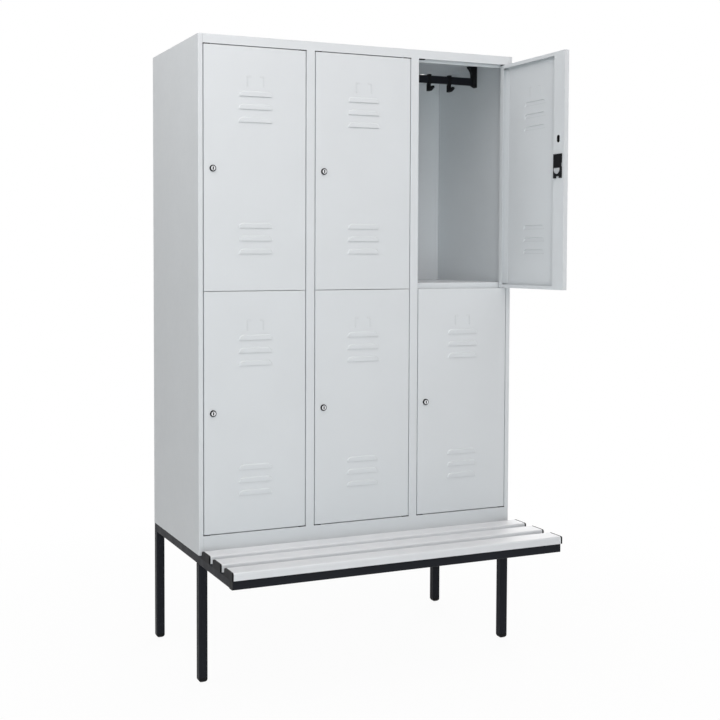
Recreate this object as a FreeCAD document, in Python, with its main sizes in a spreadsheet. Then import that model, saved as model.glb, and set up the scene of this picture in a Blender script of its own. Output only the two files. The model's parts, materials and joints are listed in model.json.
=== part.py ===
import FreeCAD, Part
import Sketcher
import math
import os
import re

# A double-tier locker: a folded sheet carcass with doors in two tiers, on a tube frame with a bench.
# Lengths are millimetres. x runs across the front, y from front to back and z up from the floor.
# Until a piece is placed, y counts from the front of the carcass, or from the pivot on a door.

SIZES = {
    # Carcass of folded sheet
    "carcass_width": 1200,
    "carcass_depth": 500,
    "carcass_height": 1700,
    "base_height": 425,
    "gauge": 1,
    "header_height": 29.5,
    "plinth_height": 63,
    "edge_stile": 16,
    "middle_stile": 31,
    "fold_depth": 22,
    "fold_round": 1.5,
    "stop_lip": 9,
    "weld_flange": 15,
    "inner_flange": 10,
    "foot_flange": 24,
    "shelf_flange": 40,
    "shelf_back_flange": 20,
    "vent_diameter": 20,
    "vent_offset": 99,
    "vent_back": 40,
    "wall_hole_diameter": 7,
    "wall_hole_drop": 60,
    # Doors
    "door_gap": 3,
    "tier_gap": 1.8,
    "door_depth": 17,
    "door_lip": 12,
    "hinge_lip": 18.5,
    "lock_flange": 57,
    "pivot_inset": 9,
    "pivot_depth": 6.5,
    "open_angle": 91,
    "louvre_width": 120,
    "louvre_height": 17,
    "louvre_proud": 2.3,
    "louvre_round": 16.5,
    "louvre_taper": 2.5,
    "louvre_pitch": 42.5,
    "louvre_drop": 161,
    "louvre_rise": 122.5,
    "label_width": 60,
    "label_height": 34,
    "label_drop": 95,
    "label_lip": 2.5,
    "label_proud": 1.2,
    "label_return": 12,
    "label_groove": 1.5,
    "label_press": 0.7,
    # Hinges
    "pin_diameter": 6,
    "pin_head": 10,
    "pin_head_height": 2,
    "pin_engagement": 14,
    "running_gap": 0.05,
    "bush_length": 25,
    "bush_front": 0.3,
    "bush_depth": 12,
    "bush_height": 2.7,
    "tab_height": 1,
    "tab_beyond": 8,
    # Locks
    "lock_inset": 31,
    "barrel_diameter": 20,
    "rosette_diameter": 22,
    "rosette_height": 5,
    "rosette_round": 2.5,
    "cylinder_diameter": 15,
    "cylinder_proud": 0.6,
    "key_width": 2.4,
    "key_height": 9.5,
    "key_depth": 4,
    "cam_diameter": 28,
    "cam_height": 1.5,
    "cam_rise": 4,
    "cam_flat": 10,
    "cam_gap": 0.3,
    "casing_width": 42,
    "casing_depth": 4,
    "casing_above": 57,
    "casing_below": 24,
    "casing_base": 0.8,
    "notch_width": 17,
    "notch_height": 6.5,
    "bolt_length": 30,
    "bolt_height": 12,
    "bolt_thickness": 2,
    "bolt_rise": 20,
    "bolt_sink": 0.5,
    "slide_gap": 0.3,
    "slot_width": 12,
    "slot_height": 24,
    "slot_rise": 108,
    # Coat rails
    "rail_place": 234,
    "rail_drop": 43,
    "rail_height": 28,
    "rail_thickness": 8,
    "bracket_depth": 16,
    "bracket_top": 36,
    "bracket_lip": 4,
    "bracket_flare": 36,
    "bracket_waist": 20,
    "bracket_tail": 7,
    "bracket_toe": 6,
    "hook_pitch": 87,
    "hook_shift": -5,
    "collar_width": 12,
    "collar_wall": 2.5,
    "collar_top": 4.5,
    "hook_breadth": 11,
    "hook_thickness": 8,
    "hook_back": 6,
    "hook_bend": 4,
    "hook_shank": 17,
    "hook_sweep": 114,
    "hook_tip": 20,
    # Base frame with bench
    "tube_size": 30,
    "tube_wall": 2,
    "tube_round": 4,
    "bench_reach": 309.5,
    "front_leg_place": -2,
    "foot_height": 17,
    "foot_round": 12,
    "foot_plug": 20,
    "slat_width": 68,
    "slat_height": 25,
    "slat_pitch": 103.5,
    "slat_overhang": 5,
    "slat_inset": 2.4,
    "slat_wall": 3,
    "slat_round": 6,
    "cap_thickness": 6,
    "cap_plug": 8,
    "plug_thickness": 2,
    "screw_diameter": 5,
    "screw_head": 10,
    "screw_head_height": 3,
    "screw_bite": 8,
    "bolt_diameter": 8,
    "bolt_head": 13,
    "bolt_head_height": 4,
    "bolt_reach": 14,
    "bolt_front_place": 60,
}

# Places and sizes that follow from the ones above.
PLACES = {
    "half_width": "carcass_width / 2",
    "carcass_top": "base_height + carcass_height",
    "roof_underside": "carcass_top - gauge",
    "back_inside": "carcass_depth - gauge",
    "shelf_back": "back_inside - gauge",
    "opening_bottom": "base_height + plinth_height",
    "opening_top": "carcass_top - header_height",
    "floor_top": "opening_bottom + stop_lip",
    "stop_top": "opening_top - stop_lip",
    "stop_back": "fold_depth + gauge",
    "opening_width": "(carcass_width - 2 * edge_stile - 2 * middle_stile) / 3",
    "column_pitch": "opening_width + middle_stile",
    "door_width": "opening_width - 2 * door_gap",
    "door_height": "(opening_top - opening_bottom - tier_gap) / 2 - door_gap",
    "tier_split": "(opening_bottom + opening_top) / 2",
    "lower_door": "opening_bottom + door_gap",
    "upper_door": "tier_split + tier_gap / 2",
    "shelf_top": "tier_split + shelf_flange / 2",
    "lower_ceiling": "shelf_top - gauge",
    "upper_ceiling": "roof_underside",
    "door_front": "-pivot_depth",
    "door_back": "door_depth - pivot_depth",
    "door_reach": "door_width - pivot_inset",
    "door_middle": "(pivot_inset - door_reach) / 2",
    "pivot_place": "opening_width / 2 - door_gap - pivot_inset",
    "lock_x": "lock_inset - door_reach",
    "lock_z": "door_height / 2",
    "pin_hole": "pin_diameter + 2 * running_gap",
    "casing_back": "door_back + casing_depth",
    "bolt_outer": "lock_x - casing_width / 2 + bolt_sink",
    "bolt_front": "door_back + casing_base",
    "bolt_back": "bolt_front + bolt_thickness",
    "bolt_low": "lock_z + bolt_rise - bolt_height / 2",
    "bolt_high": "lock_z + bolt_rise + bolt_height / 2",
    "rail_low": "-rail_drop - rail_height",
    "flare_out": "bracket_top - bracket_waist",
    "flare_down": "bracket_flare - bracket_lip",
    "flare_radius": "(flare_out * flare_out + flare_down * flare_down) / (2 * flare_out)",
    "rail_x": "half_width - tube_size / 2",
    "rail_bottom": "base_height - tube_size",
    "rear_leg_place": "carcass_depth - tube_size",
    "bolt_back_place": "carcass_depth - bolt_front_place",
    "slat_end": "half_width - slat_inset",
    "slat_front": "-bench_reach - slat_overhang",
    "open_reach": "door_reach * sin(open_angle) - door_back * cos(open_angle) - pivot_depth",
    "front_face": "(open_reach - carcass_depth) / 2",
}

COLUMNS = {"left": -1, "middle": 0, "right": 1}
TIERS = ("lower", "upper")
OPEN_DOOR = ("upper", "right")
SIDES = {"left": -1, "right": 1}
SLATS = ("front", "middle", "rear")
ALONG = {
    "x": FreeCAD.Rotation(FreeCAD.Vector(0, 1, 0), 90),
    "y": FreeCAD.Rotation(FreeCAD.Vector(1, 0, 0), -90),
    "z": FreeCAD.Rotation(),
}
NEAR = 0.001

doc = FreeCAD.newDocument("locker_with_bench")
sheet = doc.addObject("Spreadsheet::Sheet", "Sizes")
places = doc.addObject("App::VarSet", "Places")
nodes = []


def formula(text, own=""):
    """Turn the size names in a text into references to the sheet and to the places."""
    def reference(match):
        word = match.group(0)
        if word in SIZES:
            return "Sizes." + word
        if word in PLACES:
            return own + word
        return word
    return re.sub(r"[a-z_]+", reference, str(text))


def bind(piece, property_name, text):
    piece.setExpression(property_name, formula(text, "Places."))


def number(text):
    """The present value of a formula."""
    return float(sheet.evalExpression(formula(text, "Places.")))


def fill_sheet():
    for row, (alias, value) in enumerate(SIZES.items(), 1):
        sheet.set(f"A{row}", alias)
        sheet.set(f"B{row}", str(value))
        sheet.setAlias(f"B{row}", alias)
    doc.recompute()
    for name, text in PLACES.items():
        places.addProperty("App::PropertyFloat", name, "Places")
        places.setExpression(name, formula(text))
    doc.recompute()


def box(name, x, y, z):
    """A block between a low and a high formula along each axis."""
    block = doc.addObject("Part::Box", name)
    for (low, high), size, axis in zip((x, y, z), ("Length", "Width", "Height"), "xyz"):
        bind(block, size, f"({high}) - ({low})")
        bind(block, "Placement.Base." + axis, low)
    return block


def rod(name, along, start, length, diameter):
    """A round bar from a start point along one axis."""
    bar = doc.addObject("Part::Cylinder", name)
    bar.Placement = FreeCAD.Placement(FreeCAD.Vector(), ALONG[along])
    bind(bar, "Height", length)
    bind(bar, "Radius", f"({diameter}) / 2")
    for axis, place in zip("xyz", start):
        bind(bar, "Placement.Base." + axis, place)
    return bar


def fuse(name, pieces):
    joined = doc.addObject("Part::MultiFuse", name)
    joined.Shapes = pieces
    joined.Refine = True
    return joined


def group(name, pieces):
    set_of_pieces = doc.addObject("Part::Compound", name)
    set_of_pieces.Links = pieces
    return set_of_pieces


def cut(name, base, tools):
    """Take tools that don't overlap each other out of a piece."""
    result = doc.addObject("Part::Cut", name)
    result.Base = base
    result.Tool = tools[0] if len(tools) == 1 else group(name + "_tools", tools)
    result.Refine = True
    return result


def mirrored(name, piece):
    copy = doc.addObject("Part::Mirroring", name)
    copy.Source = piece
    copy.Normal = FreeCAD.Vector(1, 0, 0)
    return copy


def placed(name, piece, x="0", y="0", z="0"):
    copy = group(name, [piece])
    for axis, place in zip("xyz", (x, y, z)):
        bind(copy, "Placement.Base." + axis, place)
    return copy


def rounded(name, piece, radius, chosen):
    """Round the edges whose box passes a test."""
    doc.recompute()
    size = number(radius)
    result = doc.addObject("Part::Fillet", name)
    result.Base = piece
    edges = enumerate(piece.Shape.Edges, 1)
    result.Edges = [(index, size, size) for index, edge in edges if chosen(edge.BoundBox)]
    return result


def lies_along(axis):
    """A test for edges that run along one axis only."""
    def test(bounds):
        lengths = {"x": bounds.XLength, "y": bounds.YLength, "z": bounds.ZLength}
        return all((lengths[name] > NEAR) == (name == axis) for name in "xyz")
    return test


def node(label, piece, x="0", y="front_face", z="0"):
    """Place a finished piece and give it the name of its file."""
    result = placed("node", piece, x, y, z)
    result.Label = label
    nodes.append(result)
    return result


def plane(body, role):
    return next(feature for feature in body.Origin.OriginFeatures if feature.Role == role)


def front_sketch(body, name, forward):
    """A sketch across the front, seen from the front, a given way forward."""
    sketch = body.newObject("Sketcher::SketchObject", name)
    sketch.AttachmentSupport = [(plane(body, "XZ_Plane"), "")]
    sketch.MapMode = "FlatFace"
    bind(sketch, "AttachmentOffset.Base.z", forward)
    return sketch


def constrain(sketch, kind, points, name, text):
    """Add a constraint whose value follows a formula."""
    index = sketch.addConstraint(Sketcher.Constraint(kind, *points, number(text)))
    sketch.renameConstraint(index, name)
    bind(sketch, "Constraints." + name, text)


def polygon(sketch, points):
    """A closed outline of straight lines through points given as formulas."""
    corners = [FreeCAD.Vector(number(x), number(z), 0) for x, z in points]
    for start, end in zip(corners, corners[1:] + corners[:1]):
        sketch.addGeometry(Part.LineSegment(start, end))
    for index, (x, z) in enumerate(points):
        following = (index + 1) % len(points)
        sketch.addConstraint(Sketcher.Constraint("Coincident", index, 2, following, 1))
        constrain(sketch, "DistanceX", (-1, 1, index, 1), f"across_{index}", x)
        constrain(sketch, "DistanceY", (-1, 1, index, 1), f"up_{index}", z)


def hood_outline(sketch, width, height, radius):
    """A flat-bottomed outline with round top corners, centred over the origin."""
    half = number(width) / 2
    top = number(height)
    turn = number(radius)
    spring = top - turn
    up = FreeCAD.Vector(0, 0, 1)

    def line(x_start, z_start, x_end, z_end):
        start = FreeCAD.Vector(x_start, z_start, 0)
        end = FreeCAD.Vector(x_end, z_end, 0)
        return sketch.addGeometry(Part.LineSegment(start, end))

    def corner(x_centre, first, last):
        circle = Part.Circle(FreeCAD.Vector(x_centre, spring, 0), up, turn)
        return sketch.addGeometry(Part.ArcOfCircle(circle, first, last))

    bottom = line(-half, 0, half, 0)
    right = line(half, 0, half, spring)
    right_corner = corner(half - turn, 0, math.pi / 2)
    crown = line(half - turn, top, turn - half, top)
    left_corner = corner(turn - half, math.pi / 2, math.pi)
    left = line(-half, spring, -half, 0)
    for joint in (
        ("Coincident", bottom, 2, right, 1),
        ("Tangent", right, 2, right_corner, 1),
        ("Tangent", right_corner, 2, crown, 1),
        ("Tangent", crown, 2, left_corner, 1),
        ("Tangent", left_corner, 2, left, 1),
        ("Coincident", left, 2, bottom, 1),
        ("Horizontal", bottom),
        ("Vertical", right),
        ("Horizontal", crown),
        ("Vertical", left),
        ("Equal", right_corner, left_corner),
        ("Symmetric", bottom, 1, bottom, 2, -1, 1),
    ):
        sketch.addConstraint(Sketcher.Constraint(*joint))
    constrain(sketch, "DistanceX", (bottom, 1, bottom, 2), "width", width)
    constrain(sketch, "DistanceY", (-1, 1, crown, 1), "height", height)
    constrain(sketch, "Radius", (right_corner,), "corner", radius)


def column_edge(column, side):
    """x of one edge of a column's door opening."""
    return f"{column} * column_pitch + {side} * opening_width / 2"


def column_wall(column, side):
    """x of the inside of the wall on one side of a column."""
    if column == side:
        return f"{side} * (half_width - gauge)"
    return f"{column} * column_pitch + {side} * (column_pitch - gauge) / 2"


def pivot_x(column):
    return f"{column} * column_pitch + pivot_place"


def strike_slots(name, x):
    """Openings in a jamb for the lock bolts of both tiers."""
    y = ("bolt_front + pivot_depth - slide_gap", "bolt_back + pivot_depth + slide_gap")
    slots = []
    for tier in TIERS:
        z = (f"{tier}_door + bolt_low - slide_gap", f"{tier}_door + bolt_high + slide_gap")
        slots.append(box(f"{name}_{tier}", x, y, z))
    return slots


def on_front(bounds):
    """Upright edges on the front face of the carcass."""
    return lies_along("z")(bounds) and abs(bounds.YMax) < NEAR


def make_side_panels():
    outer = "-half_width"
    inner = "gauge - half_width"
    jamb = "edge_stile - half_width"
    tall = ("base_height", "roof_underside")
    recess = (f"{jamb} - gauge", jamb)
    lip = (f"{jamb} - gauge", f"{jamb} + stop_lip")
    folds = fuse("side_folds", [
        box("side_wall", (outer, inner), ("0", "carcass_depth"), tall),
        box("side_face", (outer, jamb), ("0", "gauge"), tall),
        box("side_recess", recess, ("0", "fold_depth"), tall),
        box("side_lip", lip, ("fold_depth", "stop_back"), ("floor_top", "stop_top")),
        box("side_back", (outer, f"{outer} + weld_flange"), ("shelf_back", "back_inside"), tall),
        box("side_foot", (outer, f"{outer} + foot_flange"), ("stop_back", "shelf_back"),
            ("base_height", "base_height + gauge")),
    ])
    bent = rounded("side_bent", folds, "fold_round", on_front)
    holes = []
    for end in ("front", "back"):
        start = (f"{outer} + tube_size / 2", f"bolt_{end}_place", "base_height - gauge")
        holes.append(rod(f"side_hole_{end}", "z", start, "3 * gauge", "bolt_diameter + 2 * slide_gap"))
    panel = cut("side_panel", bent, holes)
    slots = strike_slots("side_strike", (f"{jamb} - 2 * gauge", f"{jamb} + gauge"))
    node("side_panel_left", cut("side_with_strikes", panel, slots))
    node("side_panel_right", mirrored("side_mirrored", panel))


def make_stiles():
    edge = "middle_stile / 2"
    tall = ("opening_bottom", "opening_top")
    lip = (f"{edge} - gauge", f"{edge} + stop_lip")
    half = fuse("stile_half", [
        box("stile_face", ("0", edge), ("0", "gauge"), tall),
        box("stile_recess", (f"{edge} - gauge", edge), ("0", "fold_depth"), tall),
        box("stile_lip", lip, ("fold_depth", "stop_back"), ("floor_top", "stop_top")),
    ])
    folds = fuse("stile_folds", [half, mirrored("stile_other_half", half)])
    bent = rounded("stile_bent", folds, "fold_round", on_front)
    slots = strike_slots("stile_strike", (f"{edge} - 2 * gauge", f"{edge} + gauge"))
    stile = cut("stile", bent, slots)
    for name, side in SIDES.items():
        node(f"middle_stile_{name}", stile, x=f"{side} * column_pitch / 2")


def make_partitions():
    web = ("-gauge / 2", "gauge / 2")
    short = ("floor_top", "stop_top")
    tall = ("floor_top", "roof_underside")
    wall = fuse("partition", [
        box("partition_web", web, ("stop_back", "back_inside"), tall),
        box("partition_nose", web, ("gauge", "stop_back"), short),
        box("partition_front", ("-gauge / 2", "inner_flange"), ("gauge", "2 * gauge"), short),
        box("partition_back", ("-gauge / 2", "weld_flange"), ("shelf_back", "back_inside"), tall),
    ])
    for name, side in SIDES.items():
        node(f"partition_{name}", wall, x=f"{side} * column_pitch / 2")


def make_back_panel():
    across = ("gauge - half_width", "half_width - gauge")
    tall = ("base_height", "roof_underside")
    plate = box("back_sheet", across, ("back_inside", "carcass_depth"), tall)
    holes = []
    for name, side in SIDES.items():
        start = (f"{side} * column_pitch", "back_inside - gauge", "carcass_top - wall_hole_drop")
        holes.append(rod(f"wall_hole_{name}", "y", start, "3 * gauge", "wall_hole_diameter"))
    node("back_panel", cut("back_drilled", plate, holes))


def make_roof():
    across = ("edge_stile - half_width", "half_width - edge_stile")
    full = ("-half_width", "half_width")
    folds = fuse("roof_folds", [
        box("roof_sheet", full, ("0", "carcass_depth"), ("roof_underside", "carcass_top")),
        box("header_face", across, ("0", "gauge"), ("opening_top", "roof_underside")),
        box("header_recess", across, ("0", "stop_back"), ("opening_top", "opening_top + gauge")),
        box("header_lip", across, ("fold_depth", "stop_back"), ("stop_top", "opening_top + gauge")),
    ])
    holes = []
    for name, column in COLUMNS.items():
        pin = (pivot_x(column), "pivot_depth", "opening_top - gauge")
        holes.append(rod(f"header_hole_{name}", "z", pin, "3 * gauge", "pin_hole"))
        vent_x = f"{column} * column_pitch + vent_offset"
        vent = (vent_x, "carcass_depth - vent_back", "roof_underside - gauge")
        holes.append(rod(f"vent_{name}", "z", vent, "3 * gauge", "vent_diameter"))
    node("roof_panel", cut("roof_drilled", folds, holes))


def make_floor():
    across = ("edge_stile - half_width", "half_width - edge_stile")
    between = ("gauge - half_width", "half_width - gauge")
    step = ("opening_bottom - gauge", "floor_top")
    hem = ("floor_top - shelf_back_flange", "floor_top")
    folds = fuse("floor_folds", [
        box("plinth_face", across, ("0", "gauge"), ("base_height", "opening_bottom")),
        box("plinth_recess", across, ("0", "stop_back"), ("opening_bottom - gauge", "opening_bottom")),
        box("plinth_lip", across, ("fold_depth", "stop_back"), step),
        box("floor_sheet", between, ("stop_back", "shelf_back"), ("floor_top - gauge", "floor_top")),
        box("floor_hem", between, ("shelf_back - gauge", "shelf_back"), hem),
    ])
    holes = []
    for name, column in COLUMNS.items():
        pin = (pivot_x(column), "pivot_depth", "opening_bottom - 2 * gauge")
        holes.append(rod(f"plinth_hole_{name}", "z", pin, "3 * gauge", "pin_hole"))
    node("floor_panel", cut("floor_drilled", folds, holes))


def make_shelves():
    front_z = ("shelf_top - shelf_flange", "shelf_top")
    hem_z = ("shelf_top - shelf_back_flange", "shelf_top")
    for name, column in COLUMNS.items():
        between = (column_wall(column, -1), column_wall(column, 1))
        lips = (column_edge(column, -1) + " + stop_lip", column_edge(column, 1) + " - stop_lip")
        node(f"shelf_{name}", fuse(f"shelf_folds_{name}", [
            box("shelf_sheet", between, ("stop_back", "shelf_back"), ("shelf_top - gauge", "shelf_top")),
            box("shelf_face", lips, ("fold_depth", "stop_back"), front_z),
            box("shelf_hem", between, ("shelf_back - gauge", "shelf_back"), hem_z),
        ]))


def make_hinges():
    """Pins that the doors turn on, and bushes in the gaps above and below the doors."""
    pins = []
    bushes = []
    bush_y = ("bush_front", "bush_front + bush_depth")
    bush_z = {
        "top": ("opening_top - bush_height", "opening_top"),
        "bottom": ("opening_bottom", "opening_bottom + bush_height"),
    }
    shank = "(pin_engagement + door_gap + gauge)"
    link = "(2 * pin_engagement + tier_gap)"
    tab_y = ("pivot_depth - pin_head / 2", "pivot_depth + pin_head / 2")
    tab_z = ("tier_split - tab_height / 2", "tier_split + tab_height / 2")
    top = "opening_top + gauge"
    bottom = "opening_bottom - gauge"
    for name, column in COLUMNS.items():
        x = pivot_x(column)

        def pin_bar(kind, z, length, diameter):
            return rod(f"{kind}_{name}", "z", (x, "pivot_depth", z), length, diameter)

        pins.append(fuse(f"top_pin_{name}", [
            pin_bar("top_shank", f"{top} - {shank}", shank, "pin_diameter"),
            pin_bar("top_head", top, "pin_head_height", "pin_head"),
        ]))
        pins.append(fuse(f"bottom_pin_{name}", [
            pin_bar("bottom_shank", bottom, shank, "pin_diameter"),
            pin_bar("bottom_head", f"{bottom} - pin_head_height", "pin_head_height", "pin_head"),
        ]))
        edge = column_edge(column, 1)
        pins.append(fuse(f"tier_pin_{name}", [
            pin_bar("tier_shank", f"tier_split - {link} / 2", link, "pin_diameter"),
            box(f"tier_tab_{name}", (f"{x} - tab_beyond", edge), tab_y, tab_z),
        ]))
        far_edge = column_edge(column, -1)
        far_x = (far_edge, f"{far_edge} + bush_length")
        for level, z in bush_z.items():
            block = box("bush_block", (f"{edge} - bush_length", edge), bush_y, z)
            hole = pin_bar("bush_hole", f"{z[0]} - gauge", "bush_height + 2 * gauge", "pin_hole")
            bushes.append(cut(f"hinge_bush_{level}_{name}", block, [hole]))
            bushes.append(box(f"far_bush_{level}_{name}", far_x, bush_y, z))
    node("hinge_pins", group("all_hinge_pins", pins))
    node("hinge_bushes", group("all_hinge_bushes", bushes))


def louvre_loft(name, base, crown, inset):
    """A louvre hood between its outline on the skin and a smaller one in front of it."""
    body = doc.addObject("PartDesign::Body", name)
    root = front_sketch(body, name + "_root", base)
    hood_outline(root, f"louvre_width - 2 * {inset}", f"louvre_height - {inset}", f"louvre_round - {inset}")
    top = front_sketch(body, name + "_top", crown)
    small = f"({inset} + louvre_taper)"
    hood_outline(top, f"louvre_width - 2 * {small}", f"louvre_height - {small}", f"louvre_round - {small}")
    loft = body.newObject("PartDesign::AdditiveLoft", name + "_loft")
    loft.Profile = root
    loft.Sections = [top]
    loft.Ruled = True
    body.Tip = loft
    return body


def louvre_places():
    """Heights of the louvres' lower edges in a door."""
    top = [f"door_height - louvre_drop - {step} * louvre_pitch" for step in range(3)]
    return top + [f"louvre_rise + {step} * louvre_pitch" for step in range(3)]


def label_corners(kind, y, width):
    """Two facing corners of bar round the place for a name card, over the louvres."""
    top = "door_height - label_drop"
    centre = "(label_width - label_lip) / 2"
    pieces = []
    for name, side in SIDES.items():
        middle = f"door_middle + {side} * {centre}"
        inner = f"{middle} - {side} * label_return"
        upright = (f"{middle} - {width} / 2", f"{middle} + {width} / 2")
        across = (middle, inner) if side < 0 else (inner, middle)
        level = f"{top} - label_lip / 2"
        pieces.append(fuse(f"{kind}_{name}", [
            box(f"{kind}_side_{name}", upright, y, (f"{top} - label_height", f"{level} + {width} / 2")),
            box(f"{kind}_top_{name}", across, y, (f"{level} - {width} / 2", f"{level} + {width} / 2")),
        ]))
    return pieces


def make_door():
    """One folded tray, with its pivot axis as the local upright axis and its lower edge at zero."""
    x = ("-door_reach", "pivot_inset")
    block = box("door_block", x, ("door_front", "door_back"), ("0", "door_height"))
    front = number("door_front")
    bent = rounded("door_bent", block, "fold_round", lambda bounds: bounds.YMax < front + NEAR)
    hood = louvre_loft("louvre_hood", "0", "louvre_proud", "0")
    void = louvre_loft("louvre_void", "-2 * gauge", "louvre_proud - gauge", "gauge")
    hoods = []
    voids = []
    for index, z in enumerate(louvre_places()):
        hoods.append(placed(f"hood_{index}", hood, "door_middle", "door_front", z))
        voids.append(placed(f"void_{index}", void, "door_middle", "door_front", z))
    lip_y = ("door_front - label_proud", "door_front")
    lips = label_corners("label_lip", lip_y, "label_lip")
    pressed = fuse("door_pressed", [bent] + hoods + lips)
    inside = box("door_inside", ("gauge - door_reach", "pivot_inset - gauge"),
                 ("door_front + gauge", "door_back - gauge"), ("gauge", "door_height - gauge"))
    mouth = box("door_mouth", ("lock_flange - door_reach", "pivot_inset - hinge_lip"),
                ("door_back - 2 * gauge", "door_back + gauge"), ("door_lip", "door_height - door_lip"))
    hollow = cut("door_hollow", cut("door_tray", pressed, [inside]), [mouth])
    lock_front = ("lock_x", "door_front - gauge", "lock_z")
    lock_back = ("lock_x", "door_back - 2 * gauge", "lock_z")
    lock_hole = "barrel_diameter + 2 * running_gap"
    groove_y = ("door_front + gauge - label_press", "door_front + 2 * gauge")
    grooves = label_corners("label_groove", groove_y, "label_groove")
    openings = voids + grooves + [
        rod("pin_hole_bottom", "z", ("0", "0", "-gauge"), "3 * gauge", "pin_hole"),
        rod("pin_hole_top", "z", ("0", "0", "door_height - 2 * gauge"), "3 * gauge", "pin_hole"),
        rod("lock_hole_front", "y", lock_front, "3 * gauge", lock_hole),
        rod("lock_hole_back", "y", lock_back, "3 * gauge", lock_hole),
        flange_slot(),
    ]
    return cut("door", hollow, openings)


def flange_slot():
    """A slot with round ends through the lock flange, above the lock."""
    y = ("door_back - 2 * gauge", "door_back + gauge")
    x = ("lock_x - slot_width / 2", "lock_x + slot_width / 2")
    straight = "(slot_height - slot_width) / 2"
    ends = (f"lock_z + slot_rise - {straight}", f"lock_z + slot_rise + {straight}")
    pieces = [box("slot_middle", x, y, ends)]
    for z in ends:
        pieces.append(rod("slot_end", "y", ("lock_x", y[0], z), "3 * gauge", "slot_width"))
    return fuse("slot", pieces)


def make_lock_casing():
    """The black casing on the lock flange, and the barrel with its rosette through the door."""
    x = ("lock_x - casing_width / 2", "lock_x + casing_width / 2")
    low = "lock_z - casing_below"
    bore = "cylinder_diameter + 2 * running_gap"
    bore_start = ("lock_x", "door_back - gauge", "lock_z")
    block = box("casing_block", x, ("door_back", "casing_back"), (low, "lock_z + casing_above"))
    channel_x = ("bolt_outer - bolt_length", "bolt_outer + bolt_length + slide_gap")
    channel_y = ("bolt_front - slide_gap", "bolt_back + slide_gap")
    channel_z = ("bolt_low - slide_gap", "bolt_high + slide_gap")
    notch_x = ("lock_x - notch_width / 2", "lock_x + notch_width / 2")
    notch_y = ("door_back - gauge", "casing_back + gauge")
    notch_z = (f"{low} - notch_height", f"{low} + notch_height")
    casing = cut("casing", block, [
        rod("casing_bore", "y", bore_start, "casing_depth + 2 * gauge", bore),
        box("casing_channel", channel_x, channel_y, channel_z),
        box("casing_notch", notch_x, notch_y, notch_z),
    ])
    rosette = ("lock_x", "door_front - rosette_height", "lock_z")
    disc = rod("rosette_disc", "y", rosette, "rosette_height", "rosette_diameter")
    front = number(rosette[1])
    barrel = cut("barrel", fuse("barrel_blank", [
        rod("barrel_tube", "y", ("lock_x", "door_front", "lock_z"), "door_depth", "barrel_diameter"),
        rounded("barrel_rosette", disc, "rosette_round", lambda bounds: bounds.YMax < front + NEAR),
    ]), [rod("barrel_bore", "y", rosette, "door_depth + rosette_height", bore)])
    return group("lock_casing", [casing, barrel])


def make_lock_cylinder():
    face = "door_front - rosette_height - cylinder_proud"
    cam = "casing_back + cam_gap"
    core = fuse("cylinder_blank", [
        rod("cylinder_core", "y", ("lock_x", face, "lock_z"), f"{cam} - ({face})", "cylinder_diameter"),
        rod("cylinder_cam", "y", ("lock_x", cam, "lock_z + cam_rise"), "cam_height", "cam_diameter"),
    ])
    flat_x = ("lock_x - cam_diameter", "lock_x + cam_diameter")
    flat_y = (cam, f"{cam} + 2 * cam_height")
    flat_z = ("lock_z + cam_flat", "lock_z + cam_diameter")
    key_x = ("lock_x - key_width / 2", "lock_x + key_width / 2")
    key_y = (f"{face} - gauge", f"{face} + key_depth")
    key_z = ("lock_z - key_height / 2", "lock_z + key_height / 2")
    return cut("lock_cylinder", core, [
        box("cam_flat_cut", flat_x, flat_y, flat_z),
        box("key_slot", key_x, key_y, key_z),
    ])


def make_lock_bolt():
    x = ("bolt_outer", "bolt_outer + bolt_length")
    return box("lock_bolt", x, ("bolt_front", "bolt_back"), ("bolt_low", "bolt_high"))


def make_doors():
    pieces = {
        "door": make_door(),
        "lock_casing": make_lock_casing(),
        "lock_cylinder": make_lock_cylinder(),
        "lock_bolt": make_lock_bolt(),
    }
    pivot_y = "front_face + pivot_depth"
    for tier in TIERS:
        for name, column in COLUMNS.items():
            x = pivot_x(column)
            for kind, piece in pieces.items():
                copy = node(f"{kind}_{tier}_{name}", piece, x, pivot_y, f"{tier}_door")
                if (tier, name) == OPEN_DOOR:
                    bind(copy, "Placement.Rotation.Angle", "open_angle")


def make_bracket():
    """A rail bracket for the right-hand end, with the wall at x = 0 and the ceiling at z = 0."""
    body = doc.addObject("PartDesign::Body", "bracket")
    sketch = front_sketch(body, "bracket_outline", "-bracket_depth / 2")
    polygon(sketch, [
        ("0", "0"),
        ("-bracket_top", "0"),
        ("-bracket_top", "-bracket_lip"),
        ("-bracket_waist", "-bracket_flare"),
        ("-bracket_waist", "rail_low"),
        ("-bracket_toe", "rail_low - bracket_tail"),
        ("0", "rail_low - bracket_tail"),
    ])
    pad = body.newObject("PartDesign::Pad", "bracket_pad")
    pad.Profile = sketch
    bind(pad, "Length", "bracket_depth")
    hollow = ("-bracket_waist - flare_radius", "-bracket_depth", "-bracket_flare")
    flare = rod("flare", "y", hollow, "2 * bracket_depth", "2 * flare_radius")
    flared = cut("bracket_flared", body, [flare])
    socket = box("rail_socket", ("-bracket_top", "0"), ("-rail_thickness / 2", "rail_thickness / 2"),
                 ("rail_low", "-rail_drop"))
    return cut("bracket_with_socket", flared, [socket])


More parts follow.
